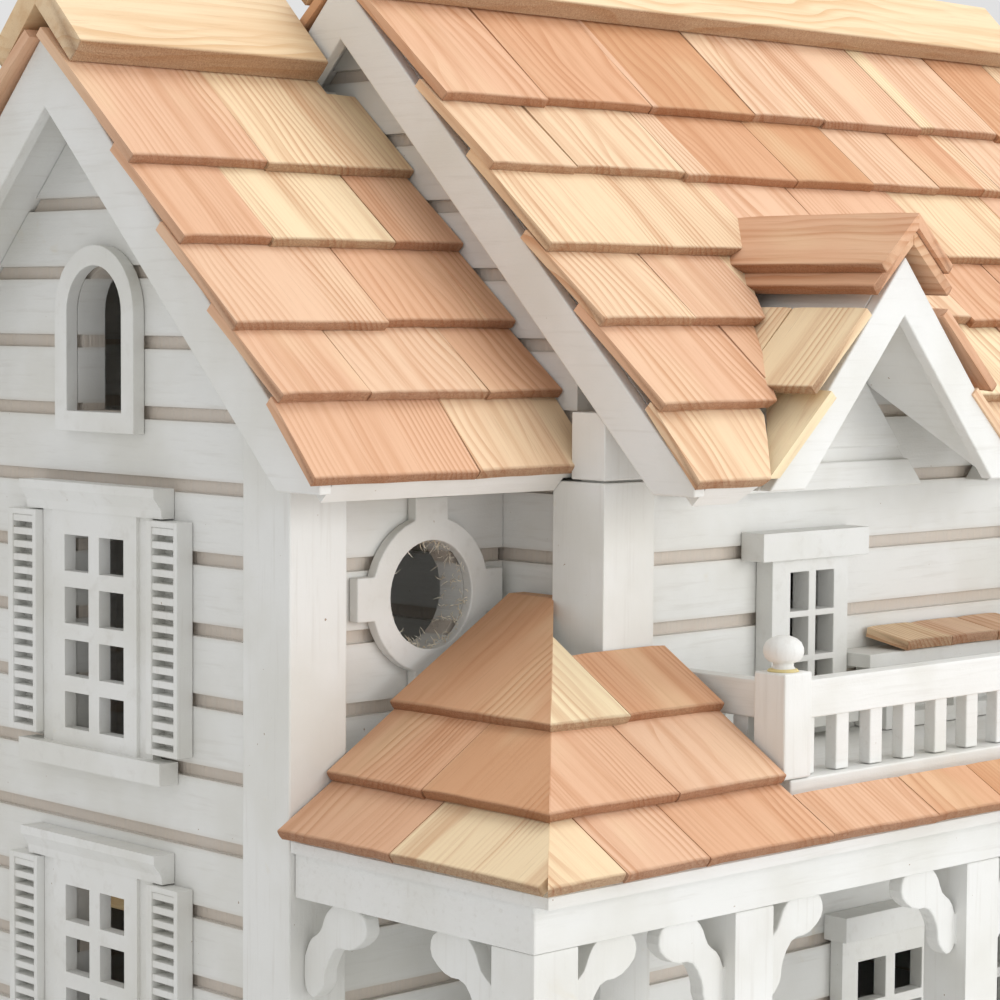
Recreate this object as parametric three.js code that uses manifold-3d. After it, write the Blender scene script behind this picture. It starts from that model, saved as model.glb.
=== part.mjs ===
// Cottage birdhouse: a gabled wing with the entry hole, a taller main block with two
// dormers, a wrap-around porch with a balcony above it, and a hinged clean-out door.
// Millimetres. +X runs right along the front, +Y to the back, +Z up; the front faces -Y.
import * as THREE from "three";
import { mergeVertices } from "three/addons/utils/BufferGeometryUtils.js";
import Module from "manifold-3d";

const wasm = await Module();
wasm.setup();

// ---------- driving dimensions ----------
const gap = 0.3; // clearance between touching pieces
const post = 25; // square corner posts
const recess = 12; // siding lies this far behind the post faces
const ply = 12; // wall thickness
const baseTop = 18;
const wingBack = 240; // rear post faces of the wing
const mainX0 = 96.6; // left post face of the main block
const mainCentre = 292;
const mainX1 = 2 * mainCentre - mainX0;
const mainY0 = -50.3; // front post face of the main block
const mainBack = 226.3; // rear post faces of the main block
const postTop = 270.6; // main front posts end here, with a block above

const holeX = 70;
const holeZ = 230;
const holeR = 19.05;
const ringR = 27.4;
const tabReach = 34.2;
const tabWidth = 15.3;
const ringThick = 4.4;

const groovePitch = 25;
const grooveTop = 267; // height of the groove nearest the eaves
const grooveWide = 4.8;
const grooveDeep = 2.2;

const board = 9; // roof board thickness
const cedar = 4.2; // shingle thickness
const lap = 6.4; // height of a shingle tail off the boards, over the course below
const rakeThick = 5;

const wing = {
  ridge: wingBack / 2,
  top: 306,
  eave: -33.5,
  tails: [-12, 12, 40, 67],
  rakeLow: 280,
  rakeFoot: 270,
};
const main = {
  ridge: (mainY0 + mainBack) / 2,
  top: 364,
  eave: -94,
  tails: [-72, -44, -19, 10, 36],
  rakeLow: 341.4,
  rakeFoot: 268,
};
const wingRoofX0 = -18.5;
const wingRakeX = -14;

const dormer = { off: mainCentre - 206, tan: 1.13, under: 339, top: 349.5, front: -91.5 };
const porch = { x: 2.2, y: -114.3, z0: 133.7, z1: 150, wide: 12, tan: 0.755, lift: 152.4, hip: 122.5 };
const porchPost = 19;
const deckTop = baseTop;
const balcony = { x0: 132, y0: -104.5, z: 171.8, thick: 5.8, newel: 14, rail: 13 };

// ---------- materials ----------
function paint(color, roughness = 0.6) {
  return new THREE.MeshStandardMaterial({ color, roughness, metalness: 0 });
}
const white = paint(0xe4e2dc);
const cedarWood = paint(0xdcae84, 0.75);
const pine = paint(0xe8cfa0, 0.7);
const brass = new THREE.MeshStandardMaterial({ color: 0xb99a55, roughness: 0.35, metalness: 1 });

// ---------- solids ----------
function outline(points, depth) {
  const isShape = points instanceof THREE.Shape;
  const shape = isShape ? points : new THREE.Shape(points.map((p) => new THREE.Vector2(...p)));
  return new THREE.ExtrudeGeometry(shape, { depth, bevelEnabled: false, curveSegments: 10 });
}
const axisX = new THREE.Vector3(1, 0, 0);
const axisY = new THREE.Vector3(0, 1, 0);
const axisZ = new THREE.Vector3(0, 0, 1);
// outline given as (y, z), swept along X
function prismX(points, x0, x1) {
  const turn = new THREE.Matrix4().makeBasis(axisY, axisZ, axisX);
  return outline(points, x1 - x0).applyMatrix4(turn).translate(x0, 0, 0);
}
// outline given as (x, z), swept along Y
function prismY(points, y0, y1) {
  const turn = new THREE.Matrix4().makeBasis(axisX, axisZ, axisY.clone().negate());
  return outline(points, y1 - y0).applyMatrix4(turn).translate(0, y1, 0);
}
// outline given as (x, y), swept along Z
function prismZ(points, z0, z1) {
  return outline(points, z1 - z0).translate(0, 0, z0);
}
function box(x0, x1, y0, y1, z0, z1) {
  const size = new THREE.BoxGeometry(x1 - x0, y1 - y0, z1 - z0);
  return size.translate((x0 + x1) / 2, (y0 + y1) / 2, (z0 + z1) / 2);
}
function solid(geometry) {
  const bare = geometry.index ? geometry.toNonIndexed() : geometry.clone();
  bare.deleteAttribute("normal");
  bare.deleteAttribute("uv");
  const merged = mergeVertices(bare, 1e-4);
  return new wasm.Manifold(
    new wasm.Mesh({
      numProp: 3,
      vertProperties: new Float32Array(merged.attributes.position.array),
      triVerts: new Uint32Array(merged.index.array),
    })
  );
}
function geometryOf(manifold) {
  const mesh = manifold.getMesh();
  const geometry = new THREE.BufferGeometry();
  geometry.setAttribute("position", new THREE.BufferAttribute(new Float32Array(mesh.vertProperties), 3));
  geometry.setIndex(new THREE.BufferAttribute(new Uint32Array(mesh.triVerts), 1));
  return geometry;
}
function cut(geometry, ...tools) {
  return geometryOf(tools.reduce((body, tool) => body.subtract(solid(tool)), solid(geometry)));
}
function join(geometry, ...others) {
  return geometryOf(others.reduce((body, other) => body.add(solid(other)), solid(geometry)));
}
function common(geometry, tool) {
  return geometryOf(solid(geometry).intersect(solid(tool)));
}

const group = new THREE.Group();
function add(name, geometry, material) {
  const mesh = new THREE.Mesh(geometry, material);
  mesh.name = name;
  group.add(mesh);
}
const mirrorX = (x) => 2 * mainCentre - x;

// ---------- 45 degree roofs ----------
const flat45 = Math.SQRT2; // vertical drop of a unit of thickness on a 45 degree roof
const wingUnder = wing.top - board * flat45;
const mainUnder = main.top - board * flat45;
// a point of a roof: plan distance y and perpendicular offset off the board's top
function onRoof(roof, y, off) {
  const lean = off / flat45;
  return [y - lean, roof.top + y + lean];
}
function backOf(roof, points) {
  return points.map(([y, z]) => [2 * roof.ridge - y, z]).reverse();
}
// one stepped body for all the courses of a slope
function cedarOutline(roof) {
  const points = [onRoof(roof, roof.eave, gap), onRoof(roof, roof.eave, cedar)];
  for (const y of roof.tails) points.push(onRoof(roof, y, lap), onRoof(roof, y, lap + cedar));
  const lastLap = roof.tails[roof.tails.length - 1] + 26;
  const ridge = roof.ridge - gap;
  points.push(onRoof(roof, lastLap, lap), [ridge, roof.top + ridge + cedar * flat45]);
  points.push([ridge, roof.top + ridge + gap * flat45]);
  return points.reverse();
}
function capOutline(roof, width, thick) {
  const low = lap + 0.4;
  const edge = roof.ridge - width / flat45 + low / flat45;
  const inner = onRoof(roof, edge, low);
  const outer = onRoof(roof, edge, low + thick);
  const peak = (off) => [roof.ridge, roof.top + roof.ridge + off * flat45];
  const far = ([y, z]) => [2 * roof.ridge - y, z];
  return [inner, peak(low), far(inner), far(outer), peak(low + thick), outer];
}
function rakeOutline(roof) {
  const nose = roof.eave + 1.5;
  const foot = roof.rakeFoot;
  const front = [[foot - roof.rakeLow, foot], [nose, foot], [nose, roof.top + nose]];
  const far = front.map(([y, z]) => [2 * roof.ridge - y, z]).reverse();
  return [[roof.ridge, roof.rakeLow + roof.ridge], ...front, [roof.ridge, roof.top + roof.ridge], ...far];
}
// both slopes' boards as one folded outline
function foldedBoards(roof) {
  const [top, under] = [onRoof(roof, roof.eave + 1, 0), onRoof(roof, roof.eave + 1, -board)];
  const far = ([y, z]) => [2 * roof.ridge - y, z];
  const peak = roof.top + roof.ridge;
  return [top, under, [roof.ridge, peak - board * flat45], far(under), far(top), [roof.ridge, peak]];
}

// ---------- base ----------
add("base_board", box(-12, mainX1 + 12, -126, wingBack + 12, 0, baseTop), white);

// ---------- walls ----------
// horizontal grooves cut in the outer face of a wall, as long boxes
function grooves(face, axis, outward) {
  const tools = [];
  for (let z = grooveTop + 9 * groovePitch; z > baseTop + 10; z -= groovePitch) {
    const a = face - (outward > 0 ? grooveDeep : 1);
    const b = face + (outward > 0 ? 1 : grooveDeep);
    const z0 = z - grooveWide / 2;
    const z1 = z0 + grooveWide;
    tools.push(axis === "x" ? box(a, b, -200, 400, z0, z1) : box(-100, 700, a, b, z0, z1));
  }
  return tools;
}
const windowY = 120; // windows of the left gable stand about this line
const pane = { wide: 15, high: 13.4, pitchZ: 19.3, pitchY: 21.5, rows: 4 };
const storeyDrop = 129.8; // from the upper to the lower window of the left gable
const upperPaneTop = 246.3;
const sashHalf = 26;
function leftWindowHole(drop) {
  const top = upperPaneTop - drop + 3;
  return box(0, 40, windowY - 20, windowY + 20, top - pane.pitchZ * pane.rows - 1, top);
}
function archShape(half, z0, zSpring) {
  const shape = new THREE.Shape();
  shape.moveTo(windowY - half, z0);
  shape.lineTo(windowY + half, z0);
  shape.lineTo(windowY + half, zSpring);
  shape.absarc(windowY, zSpring, half, 0, Math.PI, false);
  shape.closePath();
  return shape;
}
const archSpring = 327.6;
const archHalf = 16.8;

const wallBack = wingBack - recess;
const mainWallBack = mainBack - recess;
function gableOutline(roofUnder, ridge, y0, y1) {
  return [
    [y0, baseTop + gap],
    [y1, baseTop + gap],
    [y1, roofUnder + 2 * ridge - y1 - 0.5],
    [ridge, roofUnder + ridge - 0.5],
    [y0, roofUnder + y0 - 0.5],
  ];
}
const sideBack = wingBack - post - gap;
add(
  "wing_left_wall",
  cut(
    prismX(gableOutline(wingUnder, wing.ridge, post + gap, sideBack), recess, recess + ply),
    ...grooves(recess, "x", -1),
    leftWindowHole(0),
    leftWindowHole(storeyDrop),
    prismX(archShape(archHalf, 291.7, archSpring), 0, 40)
  ),
  white
);
// a front wall whose top follows the roof boards
function frontWall(under, y0, y1, x0, x1) {
  const foot = baseTop + gap;
  return prismX([[y0, foot], [y1, foot], [y1, under + y1 - 0.5], [y0, under + y0 - 0.5]], x0, x1);
}
function disc(radius, x, z, y0, y1, steps = 32) {
  const points = [];
  for (let i = 0; i < steps; i++) {
    const a = (i / steps) * 2 * Math.PI;
    points.push([x + radius * Math.cos(a), z + radius * Math.sin(a)]);
  }
  return prismY(points, y0, y1);
}
const mainWallX = mainX0 + recess;
add(
  "wing_front_wall",
  cut(
    frontWall(wingUnder, recess, recess + ply, post + gap, mainWallX - gap),
    ...grooves(recess, "y", -1),
    disc(holeR, holeX, holeZ, 0, 60)
  ),
  white
);
add("wing_front_post", frontWall(wingUnder, 0, post, 0, post), white);

const wingBackUnder = wingUnder + 2 * wing.ridge;
function backWall(under, y0, y1, x0, x1) {
  const foot = baseTop + gap;
  return prismX([[y0, foot], [y1, foot], [y1, under - y1 - 0.5], [y0, under - y0 - 0.5]], x0, x1);
}
const door = { x0: 36, x1: 86, z0: 124, z1: 236, thick: 8 };
add(
  "wing_back_wall",
  cut(
    join(
      cut(
        backWall(wingBackUnder, wallBack - ply, wallBack, 10, mainX0 - 1 - gap),
        ...grooves(wallBack, "y", 1)
      ),
      backWall(wingBackUnder, wingBack - post, wingBack, 0, post)
    ),
    box(door.x0, door.x1, 200, 300, door.z0, door.z1)
  ),
  white
);
add("wing_nest_floor", box(recess + ply + gap, mainX0 - gap, post + gap, sideBack, 106, 112), pine);

const upperWinX = 210;
const mainWallY = mainY0 + recess;
const dormerX = mainCentre - dormer.off;
const dormers = [dormerX, mirrorX(dormerX)];
function gableTriangle(x, peak, foot) {
  const half = (peak - foot) / dormer.tan;
  return [[x - half, foot], [x + half, foot], [x, peak]];
}
const frontWallTop = mainUnder + mainWallY - 0.5;
const dormerWalls = dormers.map((x) =>
  prismY(gableTriangle(x, dormer.under - 1, 290), mainWallY, mainWallY + ply)
);
const mainFrontX = [mainX0 + post + gap, mainX1 - post - gap];
add(
  "main_front_wall",
  cut(
    join(box(...mainFrontX, mainWallY, mainWallY + ply, baseTop + gap, frontWallTop), ...dormerWalls),
    ...grooves(mainWallY, "y", -1),
    ...[upperWinX, mirrorX(upperWinX)].map((x) => box(x - 15, x + 15, -60, 0, 184, 236)),
    box(mainCentre - 52, mainCentre + 52, -60, 0, deckTop + 8, 86)
  ),
  white
);
function mainSideWall(x0, x1, face, outward) {
  const tall = gableOutline(mainUnder, main.ridge, mainY0 + post + gap, mainBack - post - gap);
  return cut(prismX(tall, x0, x1), ...grooves(face, "x", outward));
}
add("main_left_wall", mainSideWall(mainWallX, mainWallX + ply, mainWallX, -1), white);
const mainRightX = mirrorX(mainWallX);
add("main_right_wall", mainSideWall(mirrorX(mainWallX + ply), mainRightX, mainRightX, 1), white);
const mainBackUnder = mainUnder + 2 * main.ridge;
const rakeBackUnder = main.rakeLow + 2 * main.ridge;
add(
  "main_back_wall",
  join(
    cut(
      backWall(mainBackUnder, mainWallBack - ply, mainWallBack, mainX0 + 10, mainX1 - 10),
      ...grooves(mainWallBack, "y", 1)
    ),
    backWall(rakeBackUnder, mainBack - post, mainBack, mainX0, mainX0 + post),
    backWall(rakeBackUnder, mainBack - post, mainBack, mainX1 - post, mainX1)
  ),
  white
);
// front corner posts of the main block, each with a seam and a narrower block on top
function cornerPost(x0, inner) {
  const stem = box(x0, x0 + post, mainY0, mainY0 + post, baseTop + gap, postTop);
  const neck = box(x0 + 3, x0 + post - 3, mainY0 + 3, mainY0 + 14, postTop - 1, postTop + 2);
  const head = [
    [mainY0, postTop + 0.8],
    [mainY0 + 16, postTop + 0.8],
    [mainY0 + 16, 294.5],
    [mainY0 + 4, 294.5],
    [mainY0, 290.5],
  ];
  return join(stem, neck, prismX(head, inner, inner + post));
}
add("main_front_post_left", cornerPost(mainX0, mainX0), white);
add("main_front_post_right", cornerPost(mainX1 - post, mainX1 - post), white);

// ---------- entry ring ----------
const ringY = recess - gap - ringThick;
const halfTab = tabWidth / 2;
add(
  "entry_ring",
  cut(
    join(
      disc(ringR, holeX, holeZ, ringY, recess - gap, 40),
      box(holeX - tabReach, holeX + tabReach, ringY, recess - gap, holeZ - halfTab, holeZ + halfTab),
      box(holeX - halfTab, holeX + halfTab, ringY, recess - gap, holeZ - tabReach, holeZ + tabReach)
    ),
    disc(holeR, holeX, holeZ, 0, 60, 40)
  ),
  white
);

// ---------- windows of the left gable ----------
const casing = 7.4;
add(
  "arched_window_frame",
  cut(
    prismX(archShape(archHalf + casing, 291.7 - casing, archSpring), recess - gap - 5, recess - gap),
    prismX(archShape(archHalf, 291.7, archSpring), 0, 40)
  ),
  white
);
const headerHalf = 41.6;
const headerDeep = 9;
const sillHalf = 43.8;
const shutterEdge = 52.4; // outer edge of a shutter from the middle of the window
const shutterWide = 18.3;
const frameHalf = shutterEdge - shutterWide - gap;
function leftWindow(drop) {
  const top = upperPaneTop - drop;
  const bottom = top - pane.pitchZ * pane.rows + (pane.pitchZ - pane.high);
  const holes = [];
  for (let row = 0; row < pane.rows; row++) {
    for (const side of [-1, 1]) {
      const y = windowY + (side * pane.pitchY) / 2;
      const z = top - row * pane.pitchZ;
      holes.push(box(-20, 40, y - pane.wide / 2, y + pane.wide / 2, z - pane.high, z));
    }
  }
  const face = recess - gap;
  const header = [
    [face, top + 8.8],
    [face - 5.4, top + 8.8],
    [face - 5.8, top + 12],
    [face - headerDeep, top + 16.4],
    [face - headerDeep, top + 19.5],
    [face, top + 19.5],
  ];
  return cut(
    join(
      box(face - 5, face, windowY - sashHalf, windowY + sashHalf, bottom - 8, top + 9),
      box(face - 3.6, face, windowY - frameHalf, windowY + frameHalf, bottom - 8, top + 9),
      prismY(header, windowY - headerHalf, windowY + headerHalf),
      box(face - 8.2, face, windowY - sillHalf, windowY + sillHalf, bottom - 14, bottom - 6)
    ),
    ...holes
  );
}
add("left_upper_window", leftWindow(0), white);
add("left_lower_window", leftWindow(storeyDrop), white);
function shutter(side, drop) {
  const y0 = side < 0 ? windowY - shutterEdge : windowY + shutterEdge - shutterWide;
  const face = recess - gap;
  return box(face - 7, face, y0, y0 + shutterWide, 171.5 - drop, 254.5 - drop);
}
add("left_upper_shutter_front", shutter(-1, 0), white);
add("left_upper_shutter_rear", shutter(1, 0), white);
add("left_lower_shutter_front", shutter(-1, storeyDrop), white);
add("left_lower_shutter_rear", shutter(1, storeyDrop), white);

// ---------- windows and doors of the front ----------
function frontWindow(x) {
  const holes = [];
  for (let row = 0; row < 3; row++) {
    for (const side of [-1, 1]) {
      const cx = x + 1 + side * 7.2;
      const z = 234 - row * 16.7;
      holes.push(box(cx - 5.2, cx + 5.2, -80, 0, z - 14.4, z));
    }
  }
  const face = mainWallY - gap;
  return cut(
    join(
      box(x - 21.5, x + 21.5, face - 8, face, 180, 239.2),
      box(x - 30, x + 30, face - 11, face, 238.9, 249.3),
      box(x - 26, x + 26, face - 10.5, face, 176, 182)
    ),
    ...holes
  );
}
add("front_upper_window_left", frontWindow(upperWinX), white);
add("front_upper_window_right", frontWindow(mirrorX(upperWinX)), white);
const entranceHalf = 62;
function entrance() {
  const holes = [];
  const face = mainWallY - gap;
  for (const x of [-40, -17.5, 17.5, 40]) {
    for (const z of [82, 62]) {
      holes.push(box(mainCentre + x - 8.4, mainCentre + x + 8.4, -80, 0, z - 16, z));
    }
  }
  return cut(
    join(
      box(mainCentre - 58, mainCentre + 58, face - 6, face, deckTop + gap, 93),
      box(mainCentre - entranceHalf, mainCentre + entranceHalf, face - 11, face, 92, 101.6)
    ),
    ...holes
  );
}
add("porch_entrance_doors", entrance(), white);

// ---------- wing roof ----------
// the wing roof tucks under the main rake in front, and butts against it behind the ridge
const mainRoofX0 = 94.6;
const overRake = prismX(
  [
    [-300, main.rakeLow - 300.4],
    [main.ridge, main.rakeLow + main.ridge - 0.4],
    [500, main.rakeLow + 2 * main.ridge - 500.4],
    [500, 900],
    [-300, 900],
  ],
  mainRoofX0 - gap,
  600
);
const postClear = [
  box(mainX0 - gap, 600, -200, mainY0 + post + gap, 100, postTop + 1.1),
  box(mainX0 - gap, 600, -200, mainY0 + 16 + gap, 100, 600),
];
const wingRoofX1 = mainWallX - gap;
const wingBoardX0 = wingRakeX + rakeThick + gap;
add(
  "wing_roof_boards",
  cut(prismX(foldedBoards(wing), wingBoardX0, wingRoofX1), overRake, ...postClear),
  white
);
add(
  "wing_shingles_front",
  cut(prismX(cedarOutline(wing), wingRoofX0, wingRoofX1), overRake, ...postClear),
  cedarWood
);
add("wing_shingles_back", prismX(backOf(wing, cedarOutline(wing)), wingRoofX0, mainRoofX0 - gap), cedarWood);
add("wing_rake", prismX(rakeOutline(wing), wingRakeX, wingRakeX + rakeThick), white);
add("wing_ridge_cap", prismX(capOutline(wing, 30, 9.5), wingRoofX0 + 1, mainRoofX0 - gap - 0.5), pine);

// ---------- main roof and dormers ----------
const rakeX0 = 95.6;
const mainBoardX = rakeX0 + rakeThick + gap;
function dormerPrism(x, peak, grow) {
  return prismY(gableTriangle(x, peak + grow, 200), -300, 60);
}
const dormerSkin = dormer.top + 9.5;
const dormerRoom = dormers.map((x) => dormerPrism(x, dormerSkin, 0.5));
const mainBoards = prismX(foldedBoards(main), mainBoardX, mirrorX(mainBoardX));
const mainCourses = prismX(cedarOutline(main), mainRoofX0, mirrorX(mainRoofX0));
const mainBackCourses = prismX(backOf(main, cedarOutline(main)), mainRoofX0, mirrorX(mainRoofX0));
add("main_roof_boards", cut(mainBoards, ...dormerRoom), white);
add("main_shingles_front", cut(mainCourses, ...dormerRoom), cedarWood);
add("main_shingles_back", mainBackCourses, cedarWood);
add("main_rake_left", prismX(rakeOutline(main), rakeX0, rakeX0 + rakeThick), white);
add("main_rake_right", prismX(rakeOutline(main), mirrorX(rakeX0 + rakeThick), mirrorX(rakeX0)), white);
add("main_ridge_cap", prismX(capOutline(main, 26, 8), mainRoofX0 - 0.5, mirrorX(mainRoofX0 - 0.5)), pine);

const dormerFoot = 268.5;
function dormerShell(x, peakOut, peakIn, y0, clip) {
  const shell = cut(
    prismY(gableTriangle(x, peakOut, dormerFoot), y0, 60),
    prismY(gableTriangle(x, peakIn, dormerFoot - 5), y0 - 5, 65)
  );
  // only what lies above the underside plane of the main roof board
  const above = prismX([[-300, mainUnder - 300], [200, mainUnder + 200], [-300, 800]], -100, 700);
  return clip ? common(shell, above) : shell;
}
const mainSkin = main.top + (lap + cedar) * flat45 + 0.6;
const aboveShingles = prismX([[-300, mainSkin - 300], [200, mainSkin + 200], [-300, 800]], -100, 700);
dormers.forEach((x, i) => {
  const side = i === 0 ? "left" : "right";
  const boards = dormerShell(x, dormer.top, dormer.under, dormer.front + 5.3, true);
  add("dormer_roof_boards_" + side, boards, white);
  const skin = dormerShell(x, dormerSkin, dormer.top + 0.5, dormer.front - 1.5, true);
  const cap = cut(
    prismY(gableTriangle(x, dormerSkin + 5.5, 338), dormer.front - 5.5, -2),
    prismY(gableTriangle(x, dormerSkin - 0.5, 320), dormer.front - 9, 4)
  );
  add("dormer_shingles_" + side, join(skin, common(cap, aboveShingles)), cedarWood);
  add(
    "dormer_fascia_" + side,
    cut(
      prismY(gableTriangle(x, dormer.top - 0.4, dormerFoot), dormer.front, dormer.front + 5),
      prismY(gableTriangle(x, 328.2, dormerFoot - 5), dormer.front - 5, dormer.front + 9)
    ),
    white
  );
  const board = prismY(gableTriangle(x, dormer.under - 1, 264), mainY0 + 0.3, mainWallY - gap);
  add("dormer_tympanum_" + side, cut(board, box(x - 90, x + 90, -70, mainY0 + 2.3, 274.2, 279.4)), white);
});

// ---------- porch ----------
const porchX1 = mainX1;
const beamWide = porch.wide;
add(
  "porch_beam",
  prismZ(
    [
      [porch.x, porch.y],
      [porchX1, porch.y],
      [porchX1, mainY0 - gap],
      [porchX1 - beamWide, mainY0 - gap],
      [porchX1 - beamWide, porch.y + beamWide],
      [porch.x + beamWide, porch.y + beamWide],
      [porch.x + beamWide, -gap],
      [porch.x, -gap],
    ],
    porch.z0,
    porch.z1
  ),
  white
);
// flat scroll bracket in the plane of (reach, z): top lobe at the beam, low lobe at the post
const bracketDrop = 33;
const bracketThick = 6;
function scrollShape(reach0, sign) {
  const at = (r, z) => new THREE.Vector2(reach0 + sign * r, porch.z0 - gap - z);
  const side = new THREE.SplineCurve([
    at(0, 20),
    at(0.4, bracketDrop - 3),
    at(5, bracketDrop),
    at(10, bracketDrop - 5),
    at(11, 22),
    at(16, 15),
    at(24, 14),
    at(31, 9),
    at(31, 3),
    at(27, 0),
  ]);
  const backSide = new THREE.SplineCurve([at(15, 0), at(11, 4), at(8, 10), at(3, 14), at(0, 20)]);
  const points = [...side.getPoints(22), ...backSide.getPoints(10)];
  return points.slice(0, -1).map((p) => [p.x, p.y]);
}
function bracketAlongX(x, y, sign) {
  const points = scrollShape(x, sign);
  return prismY(sign > 0 ? points : points.reverse(), y - bracketThick / 2, y + bracketThick / 2);
}
function bracketAlongY(x, y, sign) {
  const points = scrollShape(y, sign);
  return prismX(sign > 0 ? points : points.reverse(), x - bracketThick / 2, x + bracketThick / 2);
}
function porchPostAt(x) {
  return box(x, x + porchPost, porch.y + 1.1, porch.y + 1.1 + porchPost, deckTop + gap, porch.z0 - gap);
}
const bracketY = porch.y + 9;
const cornerX = porch.x + 1.1;
const bite = 0.4; // glued brackets run this far into their post
add(
  "porch_post_corner",
  join(
    porchPostAt(cornerX),
    bracketAlongX(cornerX + porchPost - bite, bracketY, 1),
    bracketAlongY(porch.x + 7, porch.y + 1.1 + porchPost - bite, 1)
  ),
  white
);
const frontPosts = { left: 95.3, mid_left: 219.3, mid_right: mirrorX(219.3 + porchPost) };
for (const [name, x] of Object.entries(frontPosts)) {
  add(
    "porch_post_" + name,
    join(
      porchPostAt(x),
      bracketAlongX(x + bite, bracketY, -1),
      bracketAlongX(x + porchPost - bite, bracketY, 1)
    ),
    white
  );
}
const endPostX = porchX1 - 1.1 - porchPost;
add(
  "porch_post_end",
  join(
    porchPostAt(endPostX),
    bracketAlongX(endPostX + bite, bracketY, -1),
    bracketAlongY(porchX1 - 7, porch.y + 1.1 + porchPost - bite, 1)
  ),
  white
);

// porch roof: the left slope rises towards +X, the front slope towards +Y, meeting at a hip
const porchBoard = 3.76; // vertical thickness
function porchLine(run, off) {
  return [run, porch.lift + porch.tan * run + off];
}
const porchTails = [-1.5, 20, 48.5];
function porchBoardOutline(end) {
  return [porchLine(0.5, -porchBoard), porchLine(end, -porchBoard), porchLine(end, 0), porchLine(0.5, 0)];
}
function porchCedarOutline(end) {
  const points = [porchLine(-1.5, 0.4), porchLine(end, 0.4), porchLine(end, 6)];
  [...porchTails].reverse().forEach((run, i) => {
    points.push(porchLine(run, 10.5));
    points.push(i < porchTails.length - 1 ? porchLine(run, 5.4) : porchLine(run - 0.01, 5.2));
  });
  return points;
}
const shiftToFront = (points) => points.map(([run, z]) => [run - porch.hip, z]);
// removes everything on one side of the hip, leaving the slopes a hair of overlap to join on
function hipCut(keepLeft) {
  const far = 400;
  const slip = keepLeft ? -0.05 : 0.05;
  const low = [-far, -far - porch.hip + slip];
  const high = [far, far - porch.hip + slip];
  const corners = keepLeft ? [low, [far * 3, -far * 2], high] : [low, high, [-far * 2, far * 3]];
  return prismZ(corners, 0, 600);
}
const balconyClear = box(balcony.x0 - 4.4, mirrorX(balcony.x0 - 4.4), balcony.y0 - gap, 0, 0, 600);
const wingPostClear = box(-50, post + gap, -gap, 100, 0, 600);
const mainPostClear = box(mainX0 - gap, 500, mainY0 - gap, mainY0 + post + gap, 0, 600);
const porchTop = 96;
const frontRun = porch.hip + mainY0 - gap;
const frontBoards = shiftToFront(porchBoardOutline(frontRun));
const frontCedar = shiftToFront(porchCedarOutline(frontRun));
const leftSlope = cut(prismY(porchBoardOutline(porchTop), -140, -gap), hipCut(true), mainPostClear);
const frontSlope = cut(prismX(frontBoards, -40, porchX1 + 5), hipCut(false));
add("porch_roof_boards", cut(join(leftSlope, frontSlope), balconyClear), white);
const leftCourses = cut(prismY(porchCedarOutline(porchTop), -140, -gap), hipCut(true), mainPostClear);
const frontCourses = cut(prismX(frontCedar, -40, porchX1 + 6), hipCut(false));
add("porch_shingles", cut(join(leftCourses, frontCourses), balconyClear), cedarWood);

// ---------- balcony ----------
const b = balcony;
add("balcony_floor", box(b.x0, mirrorX(b.x0), b.y0, mainWallY - gap, b.z - b.thick, b.z), white);
const railTop = 204.5;
const railY = b.y0 + 3.5;
const newelX = b.x0 - 4;
function newelWithSideRail(x, railX) {
  const profile = [[0, 0], [3.6, 0], [3.6, 3], [6.2, 4.6], [6.9, 7.2], [5.4, 10.2], [2.6, 11.9], [0, 12.3]];
  const finial = new THREE.LatheGeometry(profile.map((p) => new THREE.Vector2(...p)), 16);
  const top = railTop + 3.5;
  const y1 = b.y0 + b.newel - 0.5;
  finial.rotateX(Math.PI / 2).translate(x + b.newel / 2, b.y0 - 0.5 + b.newel / 2, top - 0.2);
  const pieces = [
    finial,
    box(railX, railX + 7, y1 - 1, mainWallY - gap, railTop - b.rail, railTop),
  ];
  for (let y = y1 + 7; y < mainWallY - 10; y += 14.3) {
    pieces.push(box(railX + 1, railX + 6, y, y + 6.8, b.z + gap, railTop - b.rail + 1));
  }
  return join(box(x, x + b.newel, b.y0 - 0.5, y1, b.z + gap, top), ...pieces);
}
const railX0 = newelX + b.newel - 0.5;
const railLength = mirrorX(railX0) - railX0;
const balusters = 17;
const balusterWide = 6.8;
const railPieces = [box(railX0, mirrorX(railX0), railY - 1, railY + 6.5, railTop - b.rail, railTop)];
for (let i = 0; i < balusters; i++) {
  const x = railX0 + 0.2 + (i * (railLength - balusterWide - 0.4)) / (balusters - 1);
  railPieces.push(box(x, x + balusterWide, railY, railY + 5.2, b.z + gap, railTop - b.rail + 1));
}
add(
  "balcony_railing",
  join(
    ...railPieces,
    newelWithSideRail(newelX, newelX + 3),
    newelWithSideRail(mirrorX(newelX + b.newel), mirrorX(newelX + 10))
  ),
  white
);
const bay = { half: 59.5, y0: -57, top: 196.9, board: 5.1, roofHalf: 41 };
const bayX0 = mainCentre - bay.half;
const bayX1 = mainCentre + bay.half;
add(
  "balcony_bay",
  cut(
    join(
      box(bayX0 + 14, bayX1 - 14, bay.y0 + 3, mainWallY - gap, b.z + gap, bay.top + 1),
      box(bayX0, bayX1, bay.y0, mainWallY - gap, bay.top, bay.top + bay.board)
    ),
    box(mainCentre - 36, mainCentre - 4, -80, -46, b.z + 6, b.z + 20),
    box(mainCentre + 4, mainCentre + 36, -80, -46, b.z + 6, b.z + 20)
  ),
  white
);
const bayRoof = bay.top + bay.board + gap;
const baySlope = [
  [bay.y0 - 3, bayRoof],
  [mainWallY - gap, bayRoof],
  [mainWallY - gap, bayRoof + 8],
  [bay.y0 - 3, bayRoof + 4],
];
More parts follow.
